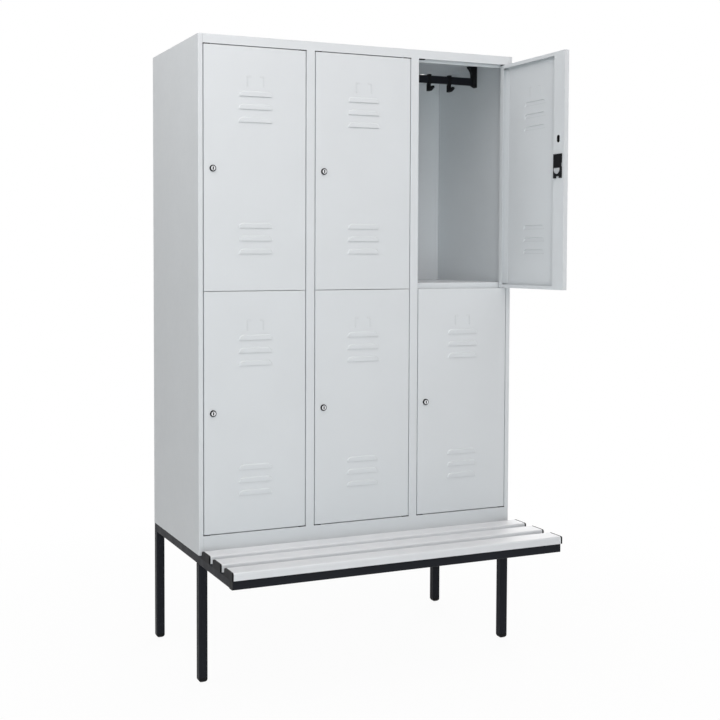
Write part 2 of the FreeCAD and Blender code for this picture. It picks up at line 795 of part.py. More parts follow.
def make_hook():
    """A hook with its collar, centred on the rail in x and y, with the rail's underside at z = 0."""
    breadth = ("-hook_breadth / 2", "hook_breadth / 2")
    width = ("-collar_width / 2", "collar_width / 2")
    inner_y = "(rail_thickness / 2 + slide_gap)"
    outer_y = f"({inner_y} + collar_wall)"
    low = "-slide_gap - collar_wall"
    window_top = "rail_height + slide_gap"
    block = box("collar_block", width, (f"-{outer_y}", outer_y), (low, f"{window_top} + collar_top"))
    window_x = ("-collar_width", "collar_width")
    window = box("collar_window", window_x, (f"-{inner_y}", inner_y), ("-slide_gap", window_top))
    collar = cut("collar", block, [window])
    shank_y = ("-hook_thickness / 2", "hook_thickness / 2 + hook_back")
    shank_z = ("-hook_shank - hook_bend - hook_thickness", low)
    shank = box("hook_shank_bar", breadth, shank_y, shank_z)
    start = ("-hook_breadth / 2", "0", "0")
    outer = rod("hook_outer", "x", start, "hook_breadth", "2 * (hook_bend + hook_thickness)")
    inner = rod("hook_inner", "x", start, "hook_breadth", "2 * hook_bend")
    bind(outer, "Angle", "hook_sweep")
    bend = cut("hook_curve", outer, [inner])
    tip_z = ("-hook_bend - hook_thickness", "-hook_bend")
    bow = fuse("hook_bow", [bend, box("hook_tip_bar", breadth, ("-hook_tip", "0"), tip_z)])
    turn = FreeCAD.Rotation(FreeCAD.Vector(1, 0, 0), number("90 - hook_sweep"))
    turned = placed("hook_turned", bow, "0", "-hook_bend - hook_thickness / 2", "-hook_shank")
    turned.Placement = FreeCAD.Placement(FreeCAD.Vector(), turn)
    return fuse("hook", [collar, shank, turned])


def make_coat_rails():
    """Rails, their brackets and the hooks that slide on them, in every compartment."""
    bracket = make_bracket()
    brackets = {1: bracket, -1: mirrored("bracket_left", bracket)}
    hook = make_hook()
    rails = []
    holders = []
    for tier in TIERS:
        ceiling = f"{tier}_ceiling"
        rail_z = (f"{ceiling} + rail_low", f"{ceiling} - rail_drop")
        for name, column in COLUMNS.items():
            walls = {side: column_wall(column, side) for side in (-1, 1)}
            rail_y = ("rail_place - rail_thickness / 2", "rail_place + rail_thickness / 2")
            rails.append(box(f"rail_{tier}_{name}", (walls[-1], walls[1]), rail_y, rail_z))
            for side, wall in walls.items():
                holders.append(placed("holder", brackets[side], wall, "rail_place", ceiling))
            hooks = {}
            for hook_name, step in COLUMNS.items():
                x = f"{column} * column_pitch + hook_shift + {step} * hook_pitch"
                hooks[hook_name] = placed("hook_copy", hook, x, "rail_place", rail_z[0])
            if (tier, name) == OPEN_DOOR:
                for hook_name, copy in hooks.items():
                    node(f"coat_hook_{hook_name}", copy)
            else:
                node(f"coat_hooks_{tier}_{name}", group("hook_set", list(hooks.values())))
    node("coat_rails", group("all_rails", rails))
    node("rail_brackets", group("all_brackets", holders))


def tube(name, along, x, y, z):
    """A square tube along one axis, open at its ends."""
    bent = rounded(name + "_bent", box(name + "_block", x, y, z), "tube_round", lies_along(along))
    inside = []
    for axis, (low, high) in zip("xyz", (x, y, z)):
        if axis == along:
            inside.append((f"({low}) - tube_wall", f"({high}) + tube_wall"))
        else:
            inside.append((f"({low}) + tube_wall", f"({high}) - tube_wall"))
    return cut(name, bent, [box(name + "_bore", *inside)])


def slat_y(name):
    """y of the front edge of a bench slat."""
    return f"slat_front + {SLATS.index(name)} * slat_pitch"


def screw_place(name):
    """x and y of a slat's right-hand screw, which goes through the front rail or a side rail."""
    if name == "front":
        return "half_width - 2 * tube_size", "tube_size / 2 - bench_reach"
    return "rail_x", f"{slat_y(name)} + slat_width / 2"


def screw_hole(name, side):
    """The clearance hole for a slat's screw through both walls of a rail."""
    x, y = screw_place(name)
    start = (f"{side} * ({x})", y, "rail_bottom - tube_wall")
    return rod("screw_hole", "z", start, "tube_size + 2 * tube_wall", "screw_diameter + 2 * slide_gap")


def make_frame():
    across = ("plug_thickness - half_width", "half_width - plug_thickness")
    left_rail = ("-half_width", "tube_size - half_width")
    level = ("rail_bottom", "base_height")
    between = ("tube_size - half_width", "half_width - tube_size")
    front_y = ("-bench_reach", "tube_size - bench_reach")
    front_tube = tube("front_tube", "x", across, front_y, level)
    front_holes = [screw_hole("front", side) for side in SIDES.values()]
    node("front_rail", cut("front_rail_drilled", front_tube, front_holes))
    rail = tube("side_tube", "y", left_rail, (front_y[1], "rear_leg_place"), level)
    holes = [screw_hole(name, -1) for name in ("middle", "rear")]
    for end in ("front", "back"):
        start = ("-rail_x", f"bolt_{end}_place", "base_height - 2 * tube_wall")
        holes.append(rod("bolt_hole", "z", start, "3 * tube_wall", "bolt_diameter + 2 * running_gap"))
    drilled = cut("side_rail", rail, holes)
    node("side_rail_left", drilled)
    node("side_rail_right", mirrored("side_rail_mirrored", drilled))
    front_leg_y = ("front_leg_place", "front_leg_place + tube_size")
    rear_leg_y = ("rear_leg_place", "carcass_depth")
    node("cross_rails", group("both_cross_rails", [
        tube("middle_cross_rail", "x", between, front_leg_y, level),
        tube("rear_cross_rail", "x", between, rear_leg_y, level),
    ]))
    front_leg = tube("front_leg", "z", left_rail, front_leg_y, ("foot_height", "rail_bottom"))
    rear_leg = tube("rear_leg", "z", left_rail, rear_leg_y, ("foot_height", "base_height"))
    left_legs = group("left_legs", [front_leg, rear_leg])
    node("legs", group("all_legs", [left_legs, mirrored("right_legs", left_legs)]))
    feet = []
    cap = make_foot()
    for side in SIDES.values():
        for place in ("front_leg_place", "rear_leg_place"):
            feet.append(placed("foot", cap, f"{side} * rail_x", f"{place} + tube_size / 2"))
    node("foot_caps", group("all_feet", feet))


def make_foot():
    """A foot cap centred on its leg: a rounded block under the tube and a plug inside it."""
    square = ("-tube_size / 2", "tube_size / 2")
    plug = ("tube_wall - tube_size / 2", "tube_size / 2 - tube_wall")
    block = box("foot_block", square, square, ("0", "foot_height"))
    soled = rounded("foot_soled", block, "foot_round", lambda bounds: bounds.ZMax < NEAR)
    top = number("foot_height")
    sides = rounded("foot_sides", soled, "tube_round",
                    lambda bounds: bounds.ZMax > top - NEAR and bounds.ZLength > NEAR)
    stem = box("foot_stem", plug, plug, ("foot_height", "foot_height + foot_plug"))
    return fuse("foot_cap", [sides, stem])


def top_edge(bounds):
    """Edges across the front on the upper side of a slat or its cap."""
    return lies_along("x")(bounds) and bounds.ZMin > NEAR


def make_bench():
    bore = (("slat_wall", "slat_width - slat_wall"), ("slat_wall", "slat_height - slat_wall"))
    section = (("0", "slat_width"), ("0", "slat_height"))
    block = box("slat_block", ("-slat_end", "slat_end"), *section)
    bar = rounded("slat_bent", block, "slat_round", top_edge)
    hollow = cut("slat_hollow", bar, [box("slat_bore", ("-half_width", "half_width"), *bore)])
    length = "tube_size + slat_wall + screw_bite"
    screw = fuse("slat_screw", [
        rod("screw_shank", "z", ("0", "0", "0"), length, "screw_diameter"),
        rod("screw_cap", "z", ("0", "0", "-screw_head_height"), "screw_head_height", "screw_head"),
    ])
    plate = rounded("cap_bent", box("cap_block", ("0", "cap_thickness"), *section), "slat_round", top_edge)
    cap = fuse("end_cap", [plate, box("cap_stem", ("-cap_plug", "0"), *bore)])
    caps = [make_rail_plug()]
    screws = []
    for name in SLATS:
        y = slat_y(name)
        screw_x, screw_y = screw_place(name)
        holes = []
        for side in SIDES.values():
            start = (f"{side} * ({screw_x})", f"{screw_y} - ({y})", "-slat_wall")
            holes.append(rod("slat_hole", "z", start, "3 * slat_wall", "screw_diameter + 2 * running_gap"))
        slat = cut(f"slat_{name}", hollow, holes)
        node(f"bench_slat_{name}", placed("slat_on_rail", slat, "0", y, "base_height"))
        caps.append(placed("cap_copy", cap, "slat_end", y, "base_height"))
        screws.append(placed("screw_copy", screw, screw_x, screw_y, "rail_bottom"))
    right_caps = group("right_caps", caps)
    right_screws = group("right_screws", screws)
    node("bench_end_caps", group("all_end_caps", [right_caps, mirrored("left_caps", right_caps)]))
    node("slat_screws", group("all_screws", [right_screws, mirrored("left_screws", right_screws)]))


def make_rail_plug():
    """A plug in the right-hand end of the front rail."""
    start = "half_width - plug_thickness"
    inner_y = ("tube_wall - bench_reach", "tube_size - tube_wall - bench_reach")
    inner_z = ("rail_bottom + tube_wall", "base_height - tube_wall")
    block = box("plug_block", (start, "half_width"), ("-bench_reach", "tube_size - bench_reach"),
                ("rail_bottom", "base_height"))
    plate = rounded("plug_bent", block, "tube_round", lies_along("x"))
    return fuse("rail_plug", [plate, box("plug_stem", (f"{start} - cap_plug", start), inner_y, inner_z)])


def make_carcass_bolts():
    bolt = fuse("carcass_bolt", [
        rod("bolt_shank", "z", ("0", "0", "-bolt_reach"), "bolt_reach", "bolt_diameter"),
        rod("bolt_cap", "z", ("0", "0", "0"), "bolt_head_height", "bolt_head"),
    ])
    bolts = []
    for side in SIDES.values():
        for end in ("front", "back"):
            y = f"bolt_{end}_place"
            bolts.append(placed("bolt_copy", bolt, f"{side} * rail_x", y, "base_height + gauge"))
    node("carcass_bolts", group("all_bolts", bolts))


def check_and_write():
    doc.recompute()
    for piece in doc.Objects:
        if "Invalid" in piece.State or "Error" in piece.State:
            raise RuntimeError(f"{piece.Name} ({piece.Label}) failed: {piece.State}")
    for piece in nodes:
        if piece.Shape.isNull() or not piece.Shape.isValid() or not piece.Shape.Solids:
            raise RuntimeError(f"{piece.Label} has no sound solid")
    os.makedirs("parts", exist_ok=True)
    for piece in nodes:
        piece.Shape.exportStep(f"parts/{piece.Label}.step")


fill_sheet()
make_side_panels()
make_stiles()
make_partitions()
make_back_panel()
make_roof()
make_floor()
make_shelves()
make_hinges()
make_doors()
make_coat_rails()
make_frame()
make_bench()
make_carcass_bolts()
check_and_write()
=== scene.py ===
import json
import math

import bpy
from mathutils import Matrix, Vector


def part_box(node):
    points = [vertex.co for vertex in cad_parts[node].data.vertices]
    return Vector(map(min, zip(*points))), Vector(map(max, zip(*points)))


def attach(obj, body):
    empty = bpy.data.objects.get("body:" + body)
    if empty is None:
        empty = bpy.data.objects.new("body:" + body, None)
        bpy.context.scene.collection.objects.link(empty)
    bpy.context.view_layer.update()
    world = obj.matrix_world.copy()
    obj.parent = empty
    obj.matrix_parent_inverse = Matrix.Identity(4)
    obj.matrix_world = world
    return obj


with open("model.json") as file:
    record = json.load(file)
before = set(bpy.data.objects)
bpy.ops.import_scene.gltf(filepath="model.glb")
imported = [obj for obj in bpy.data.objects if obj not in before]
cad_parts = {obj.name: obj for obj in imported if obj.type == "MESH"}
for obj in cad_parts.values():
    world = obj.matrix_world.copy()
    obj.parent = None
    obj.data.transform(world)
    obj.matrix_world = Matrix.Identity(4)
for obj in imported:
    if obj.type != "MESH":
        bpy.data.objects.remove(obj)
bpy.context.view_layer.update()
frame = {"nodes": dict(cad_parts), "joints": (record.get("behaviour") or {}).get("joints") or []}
nodes = frame["nodes"]
joints = {joint["name"]: joint for joint in frame["joints"]}
TAGS = [f"{tier}_{column}" for tier in ("lower", "upper") for column in ("left", "middle", "right")]
MM = 0.001
QUARTER_TURN = math.radians(90.0)


def shade(red, green, blue):
    """A paint shade read off a colour card (0 to 255) as the linear colour the shader takes."""
    def linear(value):
        value /= 255
        return value / 12.92 if value <= 0.04045 else ((value + 0.055) / 1.055) ** 2.4
    return (linear(red), linear(green), linear(blue), 1.0)


# ---------------------------------------------------------------- shader nodes in short

COLOUR, FLOAT, VECTOR = "NodeSocketColor", "NodeSocketFloat", "NodeSocketVector"


def set_or_link(tree, value, socket):
    if isinstance(value, bpy.types.NodeSocket):
        tree.links.new(value, socket)
    else:
        socket.default_value = value


def new_group(title, inputs, outputs):
    tree = bpy.data.node_groups.new(title, "ShaderNodeTree")
    for name, kind, value in inputs:
        socket = tree.interface.new_socket(name, in_out="INPUT", socket_type=kind)
        socket.default_value = value
    for name, kind in outputs:
        tree.interface.new_socket(name, in_out="OUTPUT", socket_type=kind)
    given = tree.nodes.new("NodeGroupInput").outputs
    put = tree.nodes.new("NodeGroupOutput").inputs
    return tree, given, put


def placed_group(tree, group, **values):
    """A finish in a material; an underscore in a name stands for the space in the socket's."""
    node = tree.nodes.new("ShaderNodeGroup")
    node.node_tree = group
    for name, value in values.items():
        set_or_link(tree, value, node.inputs[name.replace("_", " ")])
    return node.outputs


def place(tree):
    return tree.nodes.new("ShaderNodeTexCoord").outputs["Object"]


def noise(tree, vector, scale, detail, roughness=0.5):
    node = tree.nodes.new("ShaderNodeTexNoise")
    node.inputs["Detail"].default_value = detail
    node.inputs["Roughness"].default_value = roughness
    set_or_link(tree, scale, node.inputs["Scale"])
    tree.links.new(vector, node.inputs["Vector"])
    return node.outputs["Fac"]


def maths(tree, operation, first, second):
    node = tree.nodes.new("ShaderNodeMath")
    node.operation = operation
    set_or_link(tree, first, node.inputs[0])
    set_or_link(tree, second, node.inputs[1])
    return node.outputs[0]


def spread(tree, value, low, high, to_low=0.0, to_high=1.0):
    node = tree.nodes.new("ShaderNodeMapRange")
    tree.links.new(value, node.inputs["Value"])
    limits = (("From Min", low), ("From Max", high), ("To Min", to_low), ("To Max", to_high))
    for name, limit in limits:
        set_or_link(tree, limit, node.inputs[name])
    return node.outputs["Result"]


def clouded(tree, cloud, to_low, to_high):
    """A noise, which lies mostly between 0.3 and 0.7, spread between two limits."""
    return spread(tree, cloud, 0.3, 0.7, to_low, to_high)


def tinted(tree, colour, factor):
    node = tree.nodes.new("ShaderNodeVectorMath")
    node.operation = "SCALE"
    tree.links.new(colour, node.inputs[0])
    tree.links.new(factor, node.inputs["Scale"])
    return node.outputs["Vector"]


def varied(tree, colour, cloud, amount):
    """A colour made darker and lighter by a share, as a noise goes."""
    low = maths(tree, "SUBTRACT", 1.0, amount)
    high = maths(tree, "ADD", 1.0, amount)
    return tinted(tree, colour, clouded(tree, cloud, low, high))


def blended(tree, factor, first, second):
    mix = tree.nodes.new("ShaderNodeMix")
    mix.data_type = "RGBA"
    for value, name in ((factor, "Factor"), (first, "A"), (second, "B")):
        tree.links.new(value, mix.inputs[name])
    return mix.outputs["Result"]


def surface_normal(tree):
    return tree.nodes.new("ShaderNodeNewGeometry").outputs["Normal"]


def relief(tree, shader, height, strength, distance):
    bump = tree.nodes.new("ShaderNodeBump")
    bump.inputs["Strength"].default_value = strength
    bump.inputs["Distance"].default_value = distance
    tree.links.new(height, bump.inputs["Height"])
    tree.links.new(bump.outputs["Normal"], shader["Normal"])


# ---------------------------------------------------------------- finishes shared by the materials

def powder_coat_group():
    """Sprayed and baked powder: a fine peel in the film, with cloudy film thickness."""
    tree, given, put = new_group(
        "powder_coat",
        [("Paint", COLOUR, (0.6, 0.6, 0.6, 1)), ("Cloud", FLOAT, 0.02),
         ("Gloss Low", FLOAT, 0.4), ("Gloss High", FLOAT, 0.5)],
        [("Colour", COLOUR), ("Roughness", FLOAT), ("Peel", FLOAT)])
    grain_share = 0.35
    here = place(tree)
    cloud = noise(tree, here, scale=5.0, detail=3.0)
    tree.links.new(varied(tree, given["Paint"], cloud, given["Cloud"]), put["Colour"])
    film = noise(tree, here, scale=38.0, detail=4.0)
    tree.links.new(clouded(tree, film, given["Gloss Low"], given["Gloss High"]), put["Roughness"])
    peel = noise(tree, here, scale=430.0, detail=2.0)
    grain = noise(tree, here, scale=1500.0, detail=1.0)
    tree.links.new(maths(tree, "ADD", peel, maths(tree, "MULTIPLY", grain, grain_share)),
                   put["Peel"])
    return tree


def dust_and_top_light_group():
    """A veil on what faces up: dust on paint and moulded plastic, painted top light on the slats.
    """
    tree, given, put = new_group(
        "dust_and_top_light",
        [("Colour", COLOUR, (0.5, 0.5, 0.5, 1)), ("Dust", COLOUR, (0.4, 0.4, 0.4, 1)),
         ("Amount", FLOAT, 0.1)],
        [("Colour", COLOUR), ("Veil", FLOAT)])
    facing = tree.nodes.new("ShaderNodeSeparateXYZ")
    tree.links.new(surface_normal(tree), facing.inputs[0])
    up = spread(tree, facing.outputs["Z"], low=0.55, high=1.0)
    cloud = noise(tree, place(tree), scale=14.0, detail=5.0)
    patch = spread(tree, cloud, low=0.35, high=0.75, to_low=0.35, to_high=1.0)
    veil = maths(tree, "MULTIPLY", maths(tree, "MULTIPLY", up, patch), given["Amount"])
    tree.links.new(blended(tree, veil, given["Colour"], given["Dust"]), put["Colour"])
    tree.links.new(veil, put["Veil"])
    return tree


def crease_shade_group():
    """Painted shade: darker colour in creases and inside corners of pressed and folded sheet."""
    tree, given, put = new_group(
        "painted_crease_shade",
        [("Colour", COLOUR, (0.5, 0.5, 0.5, 1)), ("Reach", FLOAT, 0.005), ("Depth", FLOAT, 0.3)],
        [("Colour", COLOUR)])
    hollow = tree.nodes.new("ShaderNodeAmbientOcclusion")
    hollow.samples = 8
    hollow.only_local = True
    tree.links.new(given["Reach"], hollow.inputs["Distance"])
    deepest = maths(tree, "SUBTRACT", 1.0, given["Depth"])
    open_share = spread(tree, hollow.outputs["AO"], low=0.5, high=0.95, to_low=deepest)
    tree.links.new(tinted(tree, given["Colour"], open_share), put["Colour"])
    return tree


def edge_wear_and_highlight_group():
    """Lighter edges in patches: partly rubbed by hands, bags and shoes, partly painted highlight.
    """
    tree, given, put = new_group(
        "edge_wear_and_highlight",
        [("Colour", COLOUR, (0.5, 0.5, 0.5, 1)), ("Bare", COLOUR, (0.7, 0.7, 0.7, 1)),
         ("Width", FLOAT, 0.0008), ("Amount", FLOAT, 0.3)],
        [("Colour", COLOUR), ("Rub", FLOAT)])
    rounded = tree.nodes.new("ShaderNodeBevel")
    rounded.samples = 4
    tree.links.new(given["Width"], rounded.inputs["Radius"])
    turn = tree.nodes.new("ShaderNodeVectorMath")
    turn.operation = "DOT_PRODUCT"
    tree.links.new(rounded.outputs["Normal"], turn.inputs[0])
    tree.links.new(surface_normal(tree), turn.inputs[1])
    edge = spread(tree, turn.outputs["Value"], low=0.985, high=0.80)
    cloud = noise(tree, place(tree), scale=26.0, detail=4.0)
    patch = spread(tree, cloud, low=0.38, high=0.62, to_low=0.15, to_high=1.0)
    rub = maths(tree, "MULTIPLY", maths(tree, "MULTIPLY", edge, patch), given["Amount"])
    tree.links.new(blended(tree, rub, given["Colour"], given["Bare"]), put["Colour"])
    tree.links.new(rub, put["Rub"])
    return tree


def moulded_grain_group():
    """The spark-eroded grain of a mould, and the cloudy gloss that it leaves."""
    tree, given, put = new_group(
        "moulded_grain",
        [("Plastic", COLOUR, (0.02, 0.02, 0.02, 1)), ("Grain", FLOAT, 900.0),
         ("Gloss Low", FLOAT, 0.4), ("Gloss High", FLOAT, 0.55)],
        [("Colour", COLOUR), ("Roughness", FLOAT), ("Height", FLOAT)])
    darkest, lightest = 0.9, 1.12
    here = place(tree)
    flow = noise(tree, here, scale=22.0, detail=3.0)
    tree.links.new(tinted(tree, given["Plastic"], clouded(tree, flow, darkest, lightest)),
                   put["Colour"])
    tree.links.new(clouded(tree, flow, given["Gloss Low"], given["Gloss High"]), put["Roughness"])
    tree.links.new(noise(tree, here, scale=given["Grain"], detail=2.0), put["Height"])
    return tree


def drawn_lines_group():
    """Lines that a die or a turning tool leaves along one axis, in metal or in extruded plastic."""
    tree, given, put = new_group(
        "drawn_lines",
        [("Base", COLOUR, (0.6, 0.6, 0.6, 1)), ("Along", VECTOR, (1.0, 60.0, 60.0)),
         ("Streak", FLOAT, 0.03), ("Gloss Low", FLOAT, 0.25), ("Gloss High", FLOAT, 0.4)],
        [("Colour", COLOUR), ("Roughness", FLOAT), ("Height", FLOAT)])
    stretched = tree.nodes.new("ShaderNodeVectorMath")
    stretched.operation = "MULTIPLY"
    tree.links.new(place(tree), stretched.inputs[0])
    tree.links.new(given["Along"], stretched.inputs[1])
    lines = noise(tree, stretched.outputs["Vector"], scale=4.0, detail=4.0, roughness=0.6)
    tree.links.new(varied(tree, given["Base"], lines, given["Streak"]), put["Colour"])
    tree.links.new(clouded(tree, lines, given["Gloss Low"], given["Gloss High"]), put["Roughness"])
    tree.links.new(lines, put["Height"])
    return tree


POWDER_COAT = powder_coat_group()
DUST_AND_TOP_LIGHT = dust_and_top_light_group()
CREASE_SHADE = crease_shade_group()
EDGE_WEAR_AND_HIGHLIGHT = edge_wear_and_highlight_group()
MOULDED_GRAIN = moulded_grain_group()
DRAWN_LINES = drawn_lines_group()


# ---------------------------------------------------------------- materials

def new_material(title):
    material = bpy.data.materials.new(title)
    material.use_nodes = True
    return material, material.node_tree, material.node_tree.nodes["Principled BSDF"].inputs


def powder_coat(title, paint, gloss, sheen, cloud, dust, veil, crease, bare, rub):
    material, tree, shader = new_material(title)
    polish = 0.3
    shader["Specular IOR Level"].default_value = sheen
    coat = placed_group(tree, POWDER_COAT, Paint=paint, Cloud=cloud,
                        Gloss_Low=gloss - 0.05, Gloss_High=gloss + 0.06)
    # Painted shade: the paint is darker in its creases and inside corners.
    crease_shaded = placed_group(tree, CREASE_SHADE, Colour=coat["Colour"], Reach=6.0 * MM,
                           Depth=crease)
    # Painted highlight and wear: the edges are lighter in patches, and smoother.
    rubbed_and_lit = placed_group(tree, EDGE_WEAR_AND_HIGHLIGHT, Colour=crease_shaded["Colour"], Bare=bare,
                          Width=0.8 * MM, Amount=rub)
    veiled = placed_group(tree, DUST_AND_TOP_LIGHT, Colour=rubbed_and_lit["Colour"], Dust=dust, Amount=veil)
    tree.links.new(veiled["Colour"], shader["Base Color"])
    polished = maths(tree, "MULTIPLY", rubbed_and_lit["Rub"], polish)
    tree.links.new(maths(tree, "SUBTRACT", coat["Roughness"], polished), shader["Roughness"])
    relief(tree, shader, coat["Peel"], strength=0.12, distance=0.4 * MM)
    return material


def moulded_plastic(title, plastic, gloss, sheen, grain, veil, rub):
    material, tree, shader = new_material(title)
    shader["Specular IOR Level"].default_value = sheen
    skin = placed_group(tree, MOULDED_GRAIN, Plastic=plastic, Grain=grain,
                        Gloss_Low=gloss - 0.06, Gloss_High=gloss + 0.08)
    # Painted highlight and wear: the edges are lighter in patches.
    rubbed_and_lit = placed_group(tree, EDGE_WEAR_AND_HIGHLIGHT, Colour=skin["Colour"], Bare=shade(84, 86, 88),
                          Width=0.6 * MM, Amount=rub)
    veiled = placed_group(tree, DUST_AND_TOP_LIGHT, Colour=rubbed_and_lit["Colour"], Dust=shade(120, 120, 118),
                         Amount=veil)
    tree.links.new(veiled["Colour"], shader["Base Color"])
    tree.links.new(skin["Roughness"], shader["Roughness"])
    relief(tree, shader, skin["Height"], strength=0.2, distance=0.3 * MM)
    return material


def extruded_plastic(title, plastic, gloss):
    material, tree, shader = new_material(title)
    lines = placed_group(tree, DRAWN_LINES, Base=plastic, Along=(0.6, 55.0, 55.0), Streak=0.02,
                         Gloss_Low=gloss - 0.06, Gloss_High=gloss + 0.08)
    # Painted light: a pale veil lightens the slats' tops, as if more light falls from above.
    veiled = placed_group(tree, DUST_AND_TOP_LIGHT, Colour=lines["Colour"], Dust=shade(240, 241, 242),
                         Amount=0.4)
    tree.links.new(veiled["Colour"], shader["Base Color"])
    tree.links.new(lines["Roughness"], shader["Roughness"])
    relief(tree, shader, lines["Height"], strength=0.15, distance=0.3 * MM)
    return material


def plated_metal(title, plating, along, streak, gloss):
    material, tree, shader = new_material(title)
    lines = placed_group(tree, DRAWN_LINES, Base=plating, Along=along, Streak=streak,
                         Gloss_Low=gloss - 0.05, Gloss_High=gloss + 0.08)
    tree.links.new(lines["Colour"], shader["Base Color"])
    tree.links.new(lines["Roughness"], shader["Roughness"])
    relief(tree, shader, lines["Height"], strength=0.08, distance=0.1 * MM)
    shader["Metallic"].default_value = 1.0
    return material


FINISHES = {
    "grey_paint": powder_coat(
        "light_grey_powder", paint=shade(210, 215, 218), gloss=0.42, sheen=0.4, cloud=0.012,
        dust=shade(190, 188, 182), veil=0.10, crease=0.18, bare=shade(226, 229, 231), rub=0.5),
    "black_paint": powder_coat(
        "black_powder", paint=shade(31, 33, 38), gloss=0.45, sheen=0.07, cloud=0.06,
        dust=shade(120, 118, 114), veil=0.05, crease=0.25, bare=shade(92, 94, 98), rub=0.4),
    "black_plastic": moulded_plastic(
        "black_moulded_plastic", plastic=shade(25, 26, 28), gloss=0.50, sheen=0.08, grain=1100.0,
        veil=0.04, rub=0.3),
    "grey_plastic": extruded_plastic(
        "light_grey_slat_plastic", plastic=shade(213, 217, 220), gloss=0.45),
    "zinc_steel": plated_metal(
        "zinc_plated_steel", plating=shade(186, 188, 190), along=(40.0, 40.0, 3.0), streak=0.08,
        gloss=0.32),
    "chrome": plated_metal(
        "chrome_plate", plating=shade(226, 228, 230), along=(30.0, 2.0, 30.0), streak=0.03,
        gloss=0.14),
}
for node in nodes.values():
    for slot in node.material_slots:
        slot.material = FINISHES[slot.material.name.split(".")[0]]

# Painted shade: near black, standing in for the shade deep in each key slot.
KEYWAY_SHADE = moulded_plastic(
    "keyway_painted_shade", plastic=shade(12, 12, 13), gloss=0.5, sheen=0.3, grain=1400.0, veil=0.0,
    rub=0.1)
# Painted shade: black, standing in for the shade seen through the slot of the lock flange.
SLOT_SHADE = moulded_plastic(
    "slot_cup_painted_shade", plastic=shade(20, 21, 22), gloss=0.55, sheen=0.3, grain=900.0, veil=0.0,
    rub=0.1)
SATIN_ZINC = plated_metal(
    "satin_zinc", plating=shade(222, 224, 226), along=(30.0, 30.0, 30.0), streak=0.04, gloss=0.5)


# ---------------------------------------------------------------- small parts of locks and doors
# Each is modelled round the turning axis of a lock: x to the hinge, y into the locker, z up.

SMOOTH_ANGLE = math.radians(30.0)


def start_piece(title, add, **settings):
    """Begin a piece as a primitive, and go into edit mode on it alone."""
    bpy.ops.object.select_all(action="DESELECT")
    add(**settings)
    piece = bpy.context.object
    piece.name = title
    bpy.ops.object.transform_apply(location=True, rotation=True, scale=True)
    bpy.ops.object.mode_set(mode="EDIT")
    bpy.ops.mesh.select_mode(type="FACE")
    return piece


def end_piece(piece, material):
    """Turn a piece's faces outward, soften its shading and give it its finish."""
    bpy.ops.mesh.select_all(action="SELECT")
    bpy.ops.mesh.normals_make_consistent(inside=False)
    bpy.ops.object.mode_set(mode="OBJECT")
    bpy.ops.object.shade_smooth_by_angle(angle=SMOOTH_ANGLE)
    piece.data.materials.append(material)
    return piece


def select_faces(piece, chosen):
    """Select the faces that pass a test, in edit mode."""
    bpy.ops.mesh.select_all(action="DESELECT")
    bpy.ops.object.mode_set(mode="OBJECT")
    for face in piece.data.polygons:
        face.select = chosen(face)
    bpy.ops.object.mode_set(mode="EDIT")


def select_points(piece, chosen):
    """Select the points that pass a test, in edit mode."""
    bpy.ops.mesh.select_mode(type="VERT")
    bpy.ops.mesh.select_all(action="DESELECT")
    bpy.ops.object.mode_set(mode="OBJECT")
    for point in piece.data.vertices:
        point.select = chosen(point.co)
    bpy.ops.object.mode_set(mode="EDIT")


def push(x=0.0, y=0.0, z=0.0):
    bpy.ops.transform.translate(value=(x, y, z))


def extrude(x=0.0, y=0.0, z=0.0):
    bpy.ops.mesh.extrude_region_move(TRANSFORM_OT_translate={"value": (x, y, z)})


def round_edges(offset):
    bpy.ops.mesh.bevel(offset=offset, segments=2, affect="EDGES")


def thicken(piece, title, thickness, offset):
    """Give an open skin the thickness of its sheet; begins and ends in edit mode."""
    bpy.ops.object.mode_set(mode="OBJECT")
    sheet = piece.modifiers.new(title, "SOLIDIFY")
    sheet.thickness = thickness
    sheet.offset = offset
    bpy.ops.object.modifier_apply(modifier=sheet.name)
    bpy.ops.object.mode_set(mode="EDIT")


def model_keyway(material):
    """Painted shade in a key slot: a near-black block, collared on the face, with the key's groove.
    """
    middle_y, size = -9.7 * MM, (2.3 * MM, 3.2 * MM, 9.3 * MM)
    neck, collar, collar_spread = 0.9 * MM, 0.25 * MM, (1.8, 1.0, 1.15)
    groove_wall, groove_depth = 0.9 * MM, 2.0 * MM
    facing_out = -0.9
    keyway = start_piece("keyway", bpy.ops.mesh.primitive_cube_add, size=1.0,
                         location=(0.0, middle_y, 0.0), scale=size)
    select_faces(keyway, lambda face: face.normal.y < facing_out)
    extrude(y=-neck)
    extrude()
    bpy.ops.transform.resize(value=collar_spread)
    extrude(y=-collar)
    bpy.ops.mesh.inset(thickness=groove_wall)
    extrude(y=groove_depth)
    bpy.ops.mesh.select_all(action="SELECT")
    round_edges(0.12 * MM)
    return end_piece(keyway, material)


def model_cam_plate(material):
    """The satin plate on the back of a lock, round below and cut off straight above."""
    radius, middle_z, cut_z = 15.3 * MM, 5.74 * MM, 9.75 * MM
    front_y, rim_y, thickness = 16.3 * MM, 16.65 * MM, 0.4 * MM
    rim, dish, slope = 1.4 * MM, 0.15 * MM, 0.3 * MM
    plate = start_piece("cam_plate", bpy.ops.mesh.primitive_circle_add, vertices=72, radius=radius,
                        location=(0.0, front_y, middle_z), rotation=(QUARTER_TURN, 0.0, 0.0))
    select_points(plate, lambda point: point.z > cut_z)
    bpy.ops.mesh.delete(type="VERT")
    bpy.ops.mesh.select_all(action="SELECT")
    bpy.ops.mesh.edge_face_add()
    bpy.ops.mesh.select_mode(type="FACE")
    bpy.ops.mesh.select_all(action="SELECT")
    extrude(y=thickness)
    bpy.ops.mesh.inset(thickness=rim)
    push(y=-dish)
    bpy.ops.mesh.inset(thickness=slope)
    select_points(plate, lambda point: point.y > rim_y)
    round_edges(0.1 * MM)
    return end_piece(plate, material)


